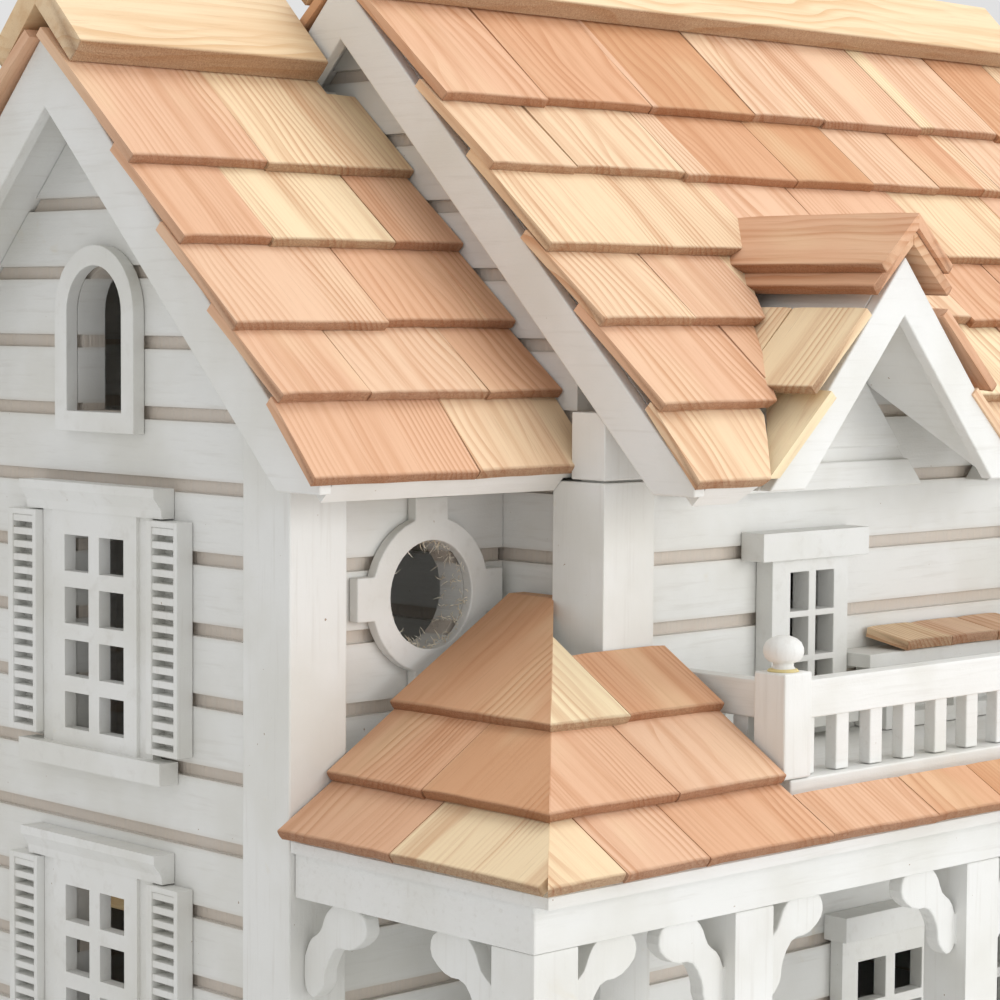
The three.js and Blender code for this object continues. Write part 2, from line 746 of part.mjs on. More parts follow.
const bayCedar = prismX(baySlope, mainCentre - bay.roofHalf, mainCentre + bay.roofHalf);
add("balcony_bay_shingles", bayCedar, cedarWood);

// ---------- clean-out door in the back of the wing ----------
const doorFace = wallBack - 0.4;
const play = 0.8;
const hingeX = door.x0 - 2.6;
const hingeY = wallBack + 2.6;
add(
  "cleanout_door",
  box(door.x0 + play, door.x1 - 2 * play, doorFace - door.thick, doorFace, door.z0 + play, door.z1 - play),
  white
);
const hingeZ0 = (door.z0 + door.z1) / 2 - 30;
const knuckleR = 2.2;
const knuckleLong = 12;
const knuckles = 5;
const hingeZ1 = hingeZ0 + knuckles * knuckleLong;
function rod(z0, z1, radius, sides = 16) {
  const pin = new THREE.CylinderGeometry(radius, radius, z1 - z0, sides).rotateX(Math.PI / 2);
  return pin.translate(hingeX, hingeY, (z0 + z1) / 2);
}
// every other knuckle belongs to the frame leaf, the rest to the door leaf
function hingeLeaf(first, x0, x1) {
  const barrels = [];
  const rooms = [rod(hingeZ0 - 1, hingeZ1 + 1, 1.05)];
  for (let i = 0; i < knuckles; i++) {
    const [z0, z1] = [hingeZ0 + i * knuckleLong, hingeZ0 + (i + 1) * knuckleLong];
    if (i % 2 === first) barrels.push(rod(z0 + gap / 2, z1 - gap / 2, knuckleR));
    else rooms.push(rod(z0 - gap / 2, z1 + gap / 2, knuckleR + 0.4));
  }
  const plate = box(x0, x1, wallBack + gap, wallBack + 1.4, hingeZ0 + gap, hingeZ1 - gap);
  return cut(join(plate, ...barrels), ...rooms);
}
add("hinge_frame_leaf", hingeLeaf(0, door.x0 - 10, hingeX - 0.3), brass);
add("hinge_door_leaf", hingeLeaf(1, hingeX + 0.3, door.x0 + 10), brass);
add("hinge_pin", rod(hingeZ0 - 0.8, hingeZ1 + 0.8, 0.75, 12), brass);
// the turn button stands upright beside the door, and swings across it to hold it shut
const button = { x: door.x1 + 5.2, z: 180, long: 26, wide: 8.4 };
const buttonX = [button.x - button.wide / 2, button.x + button.wide / 2];
const buttonZ = [button.z - 6, button.z + button.long - 6];
add(
  "turn_button",
  cut(
    box(...buttonX, wallBack + 0.5, wallBack + 4.5, ...buttonZ),
    disc(1.5, button.x, button.z, 200, 260, 16)
  ),
  white
);
add(
  "turn_button_screw",
  join(
    disc(1.2, button.x, button.z, wallBack + gap, wallBack + 5.4, 12),
    disc(2.8, button.x, button.z, wallBack + 4.8, wallBack + 6.4, 16)
  ),
  brass
);

// the part's own origin is the middle of its footprint, at the underside of the base
const middle = new THREE.Box3().setFromObject(group).getCenter(new THREE.Vector3());
group.position.set(-middle.x, -middle.y, 0);

export default group;
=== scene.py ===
import math
import random

import bmesh
import bpy
from mathutils import Matrix, Vector


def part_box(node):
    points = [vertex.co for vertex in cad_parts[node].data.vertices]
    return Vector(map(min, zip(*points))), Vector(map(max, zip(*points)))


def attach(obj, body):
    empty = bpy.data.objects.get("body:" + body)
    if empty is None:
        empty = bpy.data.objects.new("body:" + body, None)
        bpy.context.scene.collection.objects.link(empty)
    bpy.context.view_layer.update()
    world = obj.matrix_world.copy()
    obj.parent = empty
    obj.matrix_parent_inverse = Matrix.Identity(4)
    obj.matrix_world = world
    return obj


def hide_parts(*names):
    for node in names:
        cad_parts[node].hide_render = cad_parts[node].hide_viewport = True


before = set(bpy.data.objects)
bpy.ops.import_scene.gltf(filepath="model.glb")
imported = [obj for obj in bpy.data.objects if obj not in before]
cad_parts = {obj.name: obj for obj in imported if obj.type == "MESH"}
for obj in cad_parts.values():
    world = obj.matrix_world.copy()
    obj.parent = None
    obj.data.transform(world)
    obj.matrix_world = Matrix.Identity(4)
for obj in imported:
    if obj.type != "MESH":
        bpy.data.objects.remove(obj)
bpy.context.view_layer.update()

MM = 0.001
# the wing's front left corner post stands at x = 0, y = 0 of the drawing
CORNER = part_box("wing_front_post")[0]
OX, OY = CORNER.x, CORNER.y


def P(x, y, z):
    """A point of the drawing, in millimetres from the wing's front corner and the base's underside."""
    return Vector((OX + x * MM, OY + y * MM, z * MM))


CENTRE = 292.0  # middle of the main block


def mirrored(x):
    """The same place on the other side of the main block."""
    return 2 * CENTRE - x


# ---------------------------------------------------------------- materials
def srgb(r, g, b):
    def one(c):
        c /= 255
        return c / 12.92 if c <= 0.04045 else ((c + 0.055) / 1.055) ** 2.4

    return (one(r), one(g), one(b), 1.0)


class Nodes:
    """Small helper for building a material's node tree."""

    def __init__(self, name):
        self.mat = bpy.data.materials.new(name)
        self.mat.use_nodes = True
        self.tree = self.mat.node_tree
        self.bsdf = self.tree.nodes["Principled BSDF"]

    def add(self, kind, **values):
        node = self.tree.nodes.new(kind)
        for key, value in values.items():
            if key in node.inputs:
                node.inputs[key].default_value = value
            else:
                setattr(node, key, value)
        return node

    def link(self, out, into):
        self.tree.links.new(out, into)

    def math(self, operation, a, b=None, c=None, clamp=False):
        node = self.tree.nodes.new("ShaderNodeMath")
        node.operation = operation
        node.use_clamp = clamp
        for socket, value in zip(node.inputs, (a, b, c)):
            if value is None:
                continue
            if isinstance(value, (int, float)):
                socket.default_value = value
            else:
                self.link(value, socket)
        return node.outputs[0]

    def mix(self, factor, a, b):
        node = self.tree.nodes.new("ShaderNodeMix")
        node.data_type = "RGBA"
        for socket, value in ((node.inputs[0], factor), (node.inputs[6], a), (node.inputs[7], b)):
            if isinstance(value, (int, float, tuple)):
                socket.default_value = value
            else:
                self.link(value, socket)
        return node.outputs[2]

    def ramp(self, factor, stops):
        node = self.tree.nodes.new("ShaderNodeValToRGB")
        elements = node.color_ramp.elements
        while len(elements) < len(stops):
            elements.new(0.5)
        for element, (place, colour) in zip(elements, stops):
            element.position = place
            element.color = colour
        self.link(factor, node.inputs[0])
        return node.outputs[0]

    def step(self, value, low, high):
        node = self.tree.nodes.new("ShaderNodeMapRange")
        node.interpolation_type = "SMOOTHSTEP"
        node.inputs["From Min"].default_value = low
        node.inputs["From Max"].default_value = high
        self.link(value, node.inputs["Value"])
        return node.outputs[0]

    def scaled(self, vector, scale):
        node = self.tree.nodes.new("ShaderNodeMapping")
        node.inputs["Scale"].default_value = scale
        self.link(vector, node.inputs["Vector"])
        return node.outputs[0]

    def noise(self, vector, scale, detail=3.0, rough=0.55, distortion=0.0):
        node = self.add(
            "ShaderNodeTexNoise", Scale=scale, Detail=detail, Roughness=rough, Distortion=distortion)
        self.link(vector, node.inputs["Vector"])
        return node.outputs["Fac"]

    def bump(self, height, distance, strength):
        node = self.add("ShaderNodeBump", Strength=strength, Distance=distance)
        self.link(height, node.inputs["Height"])
        return node.outputs[0]


COURSE = 0.025  # height of one siding course, in metres
COURSE_START = 0.2955  # height that puts a joint in the middle of each step


def painted(name, brush, grooves=False, tint=(231, 231, 228), before=None):
    """Brushed white paint over wood: faint strokes along one axis, stains, small chips, and grooves holding
    bare wood and dust that are darkened by painted shade.

    before is the y beyond which a wall's corner posts carry no siding.
    """
    n = Nodes(name)
    n.bsdf.inputs["Specular IOR Level"].default_value = 0.35
    where = n.add("ShaderNodeTexCoord").outputs["Object"]
    strokes = n.noise(n.scaled(where, brush), 1.0, 4.0, 0.6)
    fine = n.noise(where, 900.0, 2.0)
    cloud = n.noise(where, 22.0, 3.0)
    base = n.mix(n.step(cloud, 0.35, 0.7), srgb(*tint), srgb(tint[0] - 9, tint[1] - 10, tint[2] - 13))
    base = n.mix(n.math("MULTIPLY", n.step(strokes, 0.52, 0.75), 0.35), base, srgb(208, 205, 198))
    stain = n.step(n.noise(where, 38.0, 4.0, 0.6, 0.6), 0.67, 0.78)
    base = n.mix(n.math("MULTIPLY", stain, 0.3), base, srgb(216, 202, 172))
    chip = n.step(n.noise(where, 260.0, 3.0, 0.6), 0.745, 0.765)
    base = n.mix(n.math("MULTIPLY", chip, 0.8), base, srgb(150, 120, 88))
    height = n.math("MULTIPLY_ADD", strokes, 0.8, n.math("MULTIPLY", fine, 0.3))
    if grooves:
        parts = n.add("ShaderNodeSeparateXYZ")
        n.link(where, parts.inputs[0])
        level = n.math("FRACT", n.math("DIVIDE", n.math("ADD", parts.outputs[2], COURSE_START), COURSE))
        # the bottoms of the joints between courses hold dust and bare wood, and are darkened further by
        # painted shade; a wider band round each joint is painted shade along its edges
        away = n.math("ABSOLUTE", n.math("SUBTRACT", level, 0.5))
        soft = n.noise(n.scaled(where, (700.0, 700.0, 60.0)), 1.0, 3.0)
        inside = n.math("SUBTRACT", 1.0, n.step(away, 0.075, 0.105))
        edge = n.math("SUBTRACT", 1.0, n.step(away, 0.085, 0.17))
        if before is not None:
            flat = n.math("LESS_THAN", parts.outputs[1], before)
            inside, edge = n.math("MULTIPLY", inside, flat), n.math("MULTIPLY", edge, flat)
        # painted shade: a faint darker band along the edges of each joint
        base = n.mix(n.math("MULTIPLY", edge, 0.2), base, srgb(190, 176, 158))
        # colour of a joint's bottom: bare wood and dust, made darker by painted shade
        dust_and_shade_colour = n.mix(soft, srgb(168, 140, 112), srgb(222, 208, 193))
        dirt_and_shade = n.math("MULTIPLY", inside, n.math("MULTIPLY_ADD", soft, 0.6, 0.2), clamp=True)
        base = n.mix(dirt_and_shade, base, dust_and_shade_colour)
        height = n.math("ADD", height, n.math("MULTIPLY", n.math("MULTIPLY", inside, soft), 2.2))
    n.link(base, n.bsdf.inputs["Base Color"])
    n.link(n.math("MULTIPLY_ADD", strokes, 0.25, 0.42), n.bsdf.inputs["Roughness"])
    n.link(n.bump(height, 0.0004, 0.55), n.bsdf.inputs["Normal"])
    return n.mat


def sawn_wood(name, tones, dark, line=0.0032, knots=0.0, bump=0.00035):
    """Bare wood. The mesh carries 'grain' (a place in the board, in metres), 'tone' and 'butt' (sawn end)."""
    n = Nodes(name)
    n.bsdf.inputs["Specular IOR Level"].default_value = 0.3
    grain = n.add("ShaderNodeAttribute", attribute_name="grain").outputs["Vector"]
    tone = n.add("ShaderNodeAttribute", attribute_name="tone").outputs["Fac"]
    end = n.add("ShaderNodeAttribute", attribute_name="butt").outputs["Fac"]
    wander = n.noise(n.scaled(grain, (26.0, 9.0, 26.0)), 1.0, 2.0, 0.5)
    parts = n.add("ShaderNodeSeparateXYZ")
    n.link(grain, parts.inputs[0])
    lane = n.math("ADD", parts.outputs[0], n.math("MULTIPLY", parts.outputs[2], 0.7))
    pitch = n.math("MULTIPLY_ADD", n.math("FRACT", n.math("MULTIPLY", tone, 7.3)), 0.9, 0.55)
    rings = n.math("MULTIPLY_ADD", wander, 6.5, n.math("MULTIPLY", n.math("DIVIDE", lane, line), pitch))
    saw = n.math("FRACT", rings)
    # growth rings: a slow rise and a sharp edge of late wood
    late = n.math("MULTIPLY", n.step(saw, 0.35, 0.93), n.math("SUBTRACT", 1.0, n.step(saw, 0.95, 1.0)))
    strength = n.noise(n.scaled(grain, (55.0, 6.0, 55.0)), 1.0, 2.0)
    late = n.math("MULTIPLY", late, n.step(strength, 0.36, 0.66))
    fibre = n.noise(n.scaled(grain, (1500.0, 42.0, 1500.0)), 1.0, 3.0, 0.6)
    streak = n.noise(n.scaled(grain, (130.0, 5.0, 130.0)), 1.0, 3.0, 0.6)
    patch = n.noise(n.scaled(grain, (30.0, 12.0, 30.0)), 1.0, 2.0)
    colour = n.ramp(tone, [(k / (len(tones) - 1), srgb(*c)) for k, c in enumerate(tones)])
    colour = n.mix(n.math("MULTIPLY", n.step(streak, 0.45, 0.7), 0.4), colour, srgb(*dark))
    colour = n.mix(n.math("MULTIPLY", n.step(patch, 0.5, 0.75), 0.25), colour, srgb(246, 228, 186))
    colour = n.mix(n.math("MULTIPLY", late, 0.55), colour, srgb(*dark))
    colour = n.mix(n.math("MULTIPLY", n.step(fibre, 0.55, 0.75), 0.16), colour, srgb(140, 88, 50))
    if knots:
        spot = n.add("ShaderNodeTexVoronoi", Scale=knots)
        n.link(n.scaled(grain, (1.0, 0.6, 0.2)), spot.inputs["Vector"])
        far = spot.outputs["Distance"]
        heart = n.math("SUBTRACT", 1.0, n.step(far, 0.05, 0.13))
        halo = n.math("SUBTRACT", 1.0, n.step(far, 0.1, 0.34))
        colour = n.mix(n.math("MULTIPLY", halo, 0.35), colour, srgb(214, 166, 108))
        colour = n.mix(n.math("MULTIPLY", heart, 0.75), colour, srgb(142, 88, 48))
    # sawn ends are darker and pored
    pores = n.noise(grain, 1500.0, 2.0, 0.7)
    sawn = n.math("MULTIPLY", end, n.math("MULTIPLY_ADD", pores, 0.6, 0.36))
    colour = n.mix(sawn, colour, srgb(120, 74, 44))
    n.link(colour, n.bsdf.inputs["Base Color"])
    n.link(n.math("MULTIPLY_ADD", fibre, 0.2, 0.58), n.bsdf.inputs["Roughness"])
    height = n.math("MULTIPLY_ADD", late, 0.5, n.math("MULTIPLY", fibre, 0.7))
    height = n.math("ADD", height, n.math("MULTIPLY", n.math("MULTIPLY", pores, end), 1.6))
    n.link(n.bump(height, bump, 0.7), n.bsdf.inputs["Normal"])
    return n.mat


def plain_wood(name, light, dark, along=(40.0, 4.0, 40.0)):
    """Bare board with grain along one world axis, for pieces carried over from the frame."""
    n = Nodes(name)
    where = n.add("ShaderNodeTexCoord").outputs["Object"]
    streak = n.noise(n.scaled(where, tuple(6 * a for a in along)), 1.0, 4.0, 0.6, 0.4)
    fibre = n.noise(n.scaled(where, tuple(40 * a for a in along)), 1.0, 2.0)
    colour = n.mix(n.step(streak, 0.35, 0.68), srgb(*light), srgb(*dark))
    colour = n.mix(n.math("MULTIPLY", n.step(fibre, 0.5, 0.75), 0.2), colour, srgb(150, 105, 66))
    n.link(colour, n.bsdf.inputs["Base Color"])
    n.bsdf.inputs["Roughness"].default_value = 0.7
    n.link(n.bump(fibre, 0.0003, 0.5), n.bsdf.inputs["Normal"])
    return n.mat


def metal(name, colour):
    """Satin metal with light wear."""
    n = Nodes(name)
    where = n.add("ShaderNodeTexCoord").outputs["Object"]
    wear = n.noise(where, 900.0, 2.0)
    worn = [int(c * 0.88) for c in colour]
    n.link(n.mix(n.step(wear, 0.4, 0.7), srgb(*colour), srgb(*worn)), n.bsdf.inputs["Base Color"])
    n.bsdf.inputs["Metallic"].default_value = 1.0
    n.link(n.math("MULTIPLY_ADD", wear, 0.35, 0.2), n.bsdf.inputs["Roughness"])
    n.link(n.bump(wear, 0.0001, 0.4), n.bsdf.inputs["Normal"])
    return n.mat


# brush strokes: texture scale along x, y and z, low in the direction of the stroke
UPRIGHT = (420.0, 420.0, 22.0)
ALONG_X = (22.0, 420.0, 420.0)
ALONG_Y = (420.0, 22.0, 420.0)
LEVEL = (30.0, 30.0, 420.0)
WING_BACK_FACE = OY + 0.2288
MAIN_BACK_FACE = OY + 0.2151
paint_wall = painted("paint_siding", LEVEL, grooves=True)
paint_wing_back = painted("paint_siding_wing_back", LEVEL, grooves=True, before=WING_BACK_FACE)
paint_main_back = painted("paint_siding_main_back", LEVEL, grooves=True, before=MAIN_BACK_FACE)
paint_post = painted("paint_upright", UPRIGHT)
paint_rail = painted("paint_along_front", ALONG_X)
paint_side = painted("paint_along_side", ALONG_Y)
paint_trim = painted("paint_trim", (160.0, 160.0, 160.0))
cedar = sawn_wood(
    "cedar_shingles",
    [(243, 224, 186), (239, 212, 174), (233, 198, 166), (228, 186, 154), (221, 172, 136), (206, 154, 112)],
    (188, 126, 82),
)
pine = sawn_wood("pine_cap", [(239, 214, 178), (231, 200, 158)], (208, 162, 112), line=0.006, knots=9.0)
pine_board = plain_wood("pine_board", (236, 208, 160), (216, 176, 122))
brass = metal("brass_hardware", (196, 160, 92))


# ---------------------------------------------------------------- mesh helpers
def finish_piece(obj, material, body="house", replaces=()):
    """Give a piece its material and body, and hide the frame nodes it stands in for."""
    obj.data.materials.clear()
    obj.data.materials.append(material)
    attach(obj, body)
    if replaces:
        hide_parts(*replaces)
    return obj


def object_from(bm, name):
    mesh = bpy.data.meshes.new(name)
    bm.to_mesh(mesh)
    bm.free()
    obj = bpy.data.objects.new(name, mesh)
    bpy.context.scene.collection.objects.link(obj)
    return obj


def bevelled(obj, width, segments=2, angle=30):
    mod = obj.modifiers.new("edge", "BEVEL")
    mod.width = width
    mod.segments = segments
    mod.limit_method = "ANGLE"
    mod.angle_limit = math.radians(angle)
    mod.use_clamp_overlap = True


def softened_copy(node, material, width, body="house"):
    """The frame's own solid with flat faces merged and its sharp edges rounded like sanded, painted wood."""
    bm = bmesh.new()
    bm.from_mesh(bpy.data.objects[node].data)
    bmesh.ops.remove_doubles(bm, verts=bm.verts, dist=2e-6)
    bmesh.ops.dissolve_limit(bm, angle_limit=math.radians(0.6), verts=bm.verts, edges=bm.edges)
    obj = object_from(bm, "soft_" + node)
    bevelled(obj, width)
    for poly in obj.data.polygons:
        poly.use_smooth = False
    finish_piece(obj, material, body, replaces=(node,))


class Boards:
    """Collects rough sawn boards in one mesh with grain, tone and butt carried on its points."""

    def __init__(self, seed):
        self.rng = random.Random(seed)
        self.bm = bmesh.new()
        self.grain = self.bm.verts.layers.float_vector.new("grain")
        self.tone = self.bm.verts.layers.float.new("tone")
        self.butt = self.bm.verts.layers.float.new("butt")

    def board(self, origin, across, up, normal, width, length, thick, tilt=0.0, rough=0.35,
              tone=None, clips=(), columns=7, along_up=True):
        """A board whose tail edge starts at origin, in millimetres. tilt drops its head towards the roof."""
        rng = self.rng
        tone = rng.random() if tone is None else tone
        shift = Vector((rng.uniform(0, 9), rng.uniform(0, 9), rng.uniform(0, 9)))
        part = bmesh.new()
        grain = part.verts.layers.float_vector.new("grain")
        tones = part.verts.layers.float.new("tone")
        butt = part.verts.layers.float.new("butt")
        r = 0.4  # how far the tail edge is rounded over
        # (along, through, butt) of the outline from the underside's head round the tail to the top's head
        outline = [
            (length, 0, 0), (1.2, 0, 0.3), (0.0, 0.25, 1), (-0.15, thick * 0.5, 1), (0.05, thick - r, 1),
            (r, thick, 0.5), (r * 3.2, thick, 0.0), (length * 0.5, thick, 0), (length, thick, 0),
        ]
        rows = []
        slow = rng.uniform(-0.7, 0.7)
        skew = rng.uniform(-0.014, 0.014)
        bow = rng.uniform(-0.25, 0.25)
        for i in range(columns + 1):
            k = i / columns
            side = min(k, 1 - k)
            x = k * width
            row = []
            ragged = rng.uniform(-rough, rough) * 0.5 + slow * (k - 0.5)
            for j, (t, h, b) in enumerate(outline):
                jig = ragged if 0 < j < 6 else 0
                hh = h + bow * math.sin(math.pi * k) * (0.6 if h > 0 else 0.0)
                if side == 0 and h > 0:
                    hh -= 0.3
                tt = t + jig
                point = origin + across * ((x + skew * tt) * MM) + up * (tt * MM)
                v = part.verts.new(point + normal * ((hh - tilt * tt) * MM))
                a, b_along = (x, tt) if along_up else (tt, x)
                v[grain] = Vector((a * MM, b_along * MM, hh * MM)) + shift
                v[tones] = tone
                v[butt] = b
                row.append(v)
            rows.append(row)
        count = len(outline)
        for a, b in zip(rows, rows[1:]):
            for j in range(count):
                part.faces.new((a[j], b[j], b[(j + 1) % count], a[(j + 1) % count]))
        part.faces.new(rows[0])
        part.faces.new(rows[-1][::-1])
        bmesh.ops.recalc_face_normals(part, faces=part.faces)
        for point, away in clips:
            geometry = part.verts[:] + part.edges[:] + part.faces[:]
            cut = bmesh.ops.bisect_plane(part, geom=geometry, plane_co=point, plane_no=away, clear_outer=True)
            edges = [e for e in cut["geom_cut"] if isinstance(e, bmesh.types.BMEdge)]
            if edges:
                bmesh.ops.holes_fill(part, edges=edges)
            if not part.verts:
                break
        if len(part.verts) > 7:
            bmesh.ops.recalc_face_normals(part, faces=part.faces)
            mapping = {}
            for v in part.verts:
                w = self.bm.verts.new(v.co)
                w[self.grain], w[self.tone], w[self.butt] = v[grain], v[tones], v[butt]
                mapping[v] = w
            for f in part.faces:
                self.bm.faces.new([mapping[v] for v in f.verts])
        part.free()

    def object(self, name, material, replaces=()):
        return finish_piece(object_from(self.bm, name), material, replaces=replaces)


def widths(rng, total, low, high):
    """Random board widths that fill a course."""
    parts = []
    left = total
    while left > high:
        w = rng.uniform(low, high)
        if left - w < low * 0.6:
            w = left / 2
        parts.append(w)
        left -= w
    parts.append(left)
    return parts


X = Vector((1, 0, 0))
Y = Vector((0, 1, 0))
Z = Vector((0, 0, 1))
ROOT2 = math.sqrt(2)


# ---------------------------------------------------------------- big roofs
def lay_slope(name, node, roof, x0, x1, seed, back=False, clip_sets=None, lens=(36, 62), layout=None):
    """Courses of shingles on a 45 degree slope.

    roof holds the roof board's height less its distance back, the ridge's y, and the y of the eave and of
    each course's tail. lens is the range of shingle widths; layout sets the widths and tones instead.
    """
    top, ridge, eave, tails = roof
    boards = Boards(seed)
    rng = boards.rng
    sign = -1 if back else 1
    up = Vector((0, sign, 1)).normalized()
    normal = Vector((0, -sign, 1)).normalized()
    starts = [eave] + list(tails)
    for index, y in enumerate(starts):
        low = 0.35 if index == 0 else 6.5
        nxt = starts[index + 1] if index + 1 < len(starts) else y + 26
        reach = (nxt - y) * ROOT2
        yy = 2 * ridge - y if back else y
        base = P(0, yy, top + y) + normal * (low * MM)
        length = reach + 13 if index else reach + 4
        room = (ridge - y) * ROOT2 - 1.5
        length = min(length, room)
        tilt = -0.045 if index == 0 else 4.15 / max(reach, 20)
        if index == len(starts) - 1:
            # the last course runs up under the ridge cap
            length = room - 2
            tilt = 6.0 / length
        x = x0 + rng.uniform(-0.6, 0.4)
        shares = widths(rng, x1 - x, *lens)
        shades = [None] * len(shares)
        if layout:
            shares = [(x1 - x) * share for share, _ in layout[index]]
            shades = [shade for _, shade in layout[index]]
        for w, shade in zip(shares, shades):
            slip = rng.uniform(-1.1, 1.1)
            start = base + X * (x * MM) + up * (slip * MM)
            sets = clip_sets(x, w) if clip_sets else [()]
            for clips in sets:
                wide = w - rng.uniform(0.25, 0.7)
                thick = 4.1 + rng.uniform(-0.25, 0.15)
                boards.board(start, X, up, normal, wide, length, thick, tilt, clips=clips, tone=shade)
            x += w
    boards.object(name, cedar, replaces=(node,))


WING_TOP, WING_RIDGE = 306.0, 120.0
WING_ROOF = (WING_TOP, WING_RIDGE, -33.5, (-12, 12, 40, 67))
MAIN_TOP, MAIN_RIDGE = 364.0, 88.0
MAIN_ROOF = (MAIN_TOP, MAIN_RIDGE, -94.0, (-72, -44, -19, 10, 36))
WING_X0, MAIN_X0 = -18.5, 94.6
MAIN_X1 = mirrored(MAIN_X0)
WING_X1 = 108.2  # where the wing's front slope meets the main block's gable wall
MAIN_EDGE_X = 94.2  # just short of the main roof's left edge
RAKE_LOW = 341.4  # underside of the main rake: its height less its distance back
DORMER_TAN = 1.13
DORMERS = (206.0, mirrored(206.0))
DORMER_SKIN = 359.5  # height of the dormer shingles at their peak
DORMER_REACH = 82  # half width of the dormer's roof, with some slack

# each course of the wing's front slope from the eave up: (share of the width, tone) from left to right
WING_LAYOUT = (
    ((0.56, 0.66), (0.44, 0.3)),
    ((0.3, 0.62), (0.42, 0.45), (0.28, 0.7)),
    ((0.52, 0.5), (0.48, 0.72)),
    ((0.3, 0.68), (0.44, 0.12), (0.26, 0.66)),
    ((0.46, 0.62), (0.54, 0.2)),
)


def wing_front_clips(x, w):
    """Trim a wing shingle where it reaches the main block."""
    if x + w < 94:
        return [()]
    # left of the main roof's edge the shingles are whole; beyond it they tuck under the main rake
    tuck = (P(0, 0, RAKE_LOW - 0.6), Vector((0, -1, 1)).normalized())
    wall = (P(WING_X1, 0, 0), X)
    edge = (P(MAIN_EDGE_X, 0, 0), X)
    inner = (P(MAIN_EDGE_X, 0, 0), -X)
    back = (P(0, MAIN_RIDGE + 6, 0), Y)
    return [(edge,), (inner, wall, tuck, back)]


lay_slope("wing_shingles_front_boards", "wing_shingles_front", WING_ROOF, WING_X0, WING_X1, 3,
          clip_sets=wing_front_clips, layout=WING_LAYOUT)
lay_slope("wing_shingles_back_boards", "wing_shingles_back", WING_ROOF, WING_X0, 94.0, 5, back=True)


def dormer_clips(x, w):
    """Trim a shingle to the outside of the dormer roofs."""
    for centre in DORMERS:
        if x + w < centre - DORMER_REACH or x > centre + DORMER_REACH:
            continue
        slant_left = Vector((DORMER_TAN, 0, -1)).normalized()
        slant_right = Vector((-DORMER_TAN, 0, -1)).normalized()
        peak = P(centre, 0, DORMER_SKIN + 1.0)
        left, right = (peak, slant_left), (peak, slant_right)
        middle = P(centre, 0, 0)
        sets = []
        if x < centre:
            sets.append((left, (middle, X)) if x + w > centre else (left,))
        if x + w > centre:
            sets.append((right, (middle, -X)) if x < centre else (right,))
        return sets
    return [()]


MAIN_LENS = (38, 64)
lay_slope("main_shingles_front_boards", "main_shingles_front", MAIN_ROOF, MAIN_X0, MAIN_X1, 11,
          clip_sets=dormer_clips, lens=MAIN_LENS)
lay_slope("main_shingles_back_boards", "main_shingles_back", MAIN_ROOF, MAIN_X0, MAIN_X1, 13,
          back=True, lens=MAIN_LENS)


def ridge_boards(name, node, roof, width, thick, x0, x1, seed):
    """Two pine boards folded over a ridge."""
    top, ridge = roof[:2]
    boards = Boards(seed)
    low = 6.8  # the cap's underside off the roof boards
    for back in (False, True):
        sign = -1 if back else 1
        up = Vector((0, sign, 1)).normalized()
        normal = Vector((0, -sign, 1)).normalized()
        y = ridge - width / ROOT2 + low / ROOT2
        yy = 2 * ridge - y if back else y
        start = P(x0, yy, top + y) + normal * (low * MM)
        mid = P(0, ridge, 0)
        boards.board(start, X, up, normal, x1 - x0, width + thick, thick, rough=0.1, columns=12,
                     clips=[(mid + Vector((0, -sign * 0.05 * MM, 0)), Vector((0, sign, 0)))],
                     tone=0.8 if back else 0.2, along_up=False)
    bevelled(boards.object(name, pine, (node,)), 0.0008, 2, 50)


ridge_boards("wing_ridge_boards", "wing_ridge_cap", WING_ROOF, 30, 9.5, WING_X0 + 1, 93.8, 21)
ridge_boards("main_ridge_boards", "main_ridge_cap", MAIN_ROOF, 26, 8, MAIN_X0 - 0.5, MAIN_X1 + 0.5, 23)

# ---------------------------------------------------------------- dormer roofs
DORMER_HALF = 71.5  # half width of a dormer's roof at its eaves
DORMER_PEAK = 350.1  # top of its roof boards
CAP_TAN = 0.9
CAP_THICK = 4.2
for side, centre, seed in (("left", DORMERS[0], 31), ("right", DORMERS[1], 37)):
    boards = Boards(seed)
    slope = math.atan(DORMER_TAN)
    above_main = (P(0, 0, MAIN_TOP + 2.0), Vector((0, 1, -1)).normalized())
    for sign in (-1, 1):
        up = Vector((-sign * math.cos(slope), 0, math.sin(slope)))
        normal = Vector((sign * math.sin(slope), 0, math.cos(slope)))
        middle = (P(centre, 0, 0), Vector((-sign, 0, 0)))
        courses = [(0.0, 0.6, 44), (38.0, 4.9, 40)]
        for index, (along, lift, reach) in enumerate(courses):
            foot = P(centre + sign * DORMER_HALF, -93.0, DORMER_PEAK - DORMER_TAN * DORMER_HALF)
            start = foot + up * (along * MM) + normal * (lift * MM)
            y = 0.0
            for w in widths(boards.rng, (30, 56)[index], 20, 34):
                boards.board(start + Y * (y * MM), Y, up, normal, w - 0.4, reach, 4.0, 0.1,
                             clips=[above_main, middle])
                y += w
    # the folded cap lies flatter than the roof: an under layer and a longer upper layer on each side
    flatter = math.atan(CAP_TAN)
    for sign in (-1, 1):
        up = Vector((-sign * math.cos(flatter), 0, math.sin(flatter)))
        normal = Vector((sign * math.sin(flatter), 0, math.cos(flatter)))
        middle = (P(centre, 0, 0), Vector((-sign, 0, 0)))
        above = (P(0, 0, MAIN_TOP + 8.0), Vector((0, 1, -1)).normalized())
        for dx, front, peak, wide in ((22.5, -95.0, 359.0, 80), (20.5, -97.0, 364.8, 86)):
            start = P(centre + sign * dx, front, peak - CAP_TAN * dx) - normal * (CAP_THICK * MM)
            boards.board(start, Y, up, normal, wide, 40, CAP_THICK, 0.0, rough=0.15, tone=0.72,
                         clips=[above, middle], along_up=False)
    boards.object("dormer_shingle_boards_" + side, cedar, replaces=("dormer_shingles_" + side,))

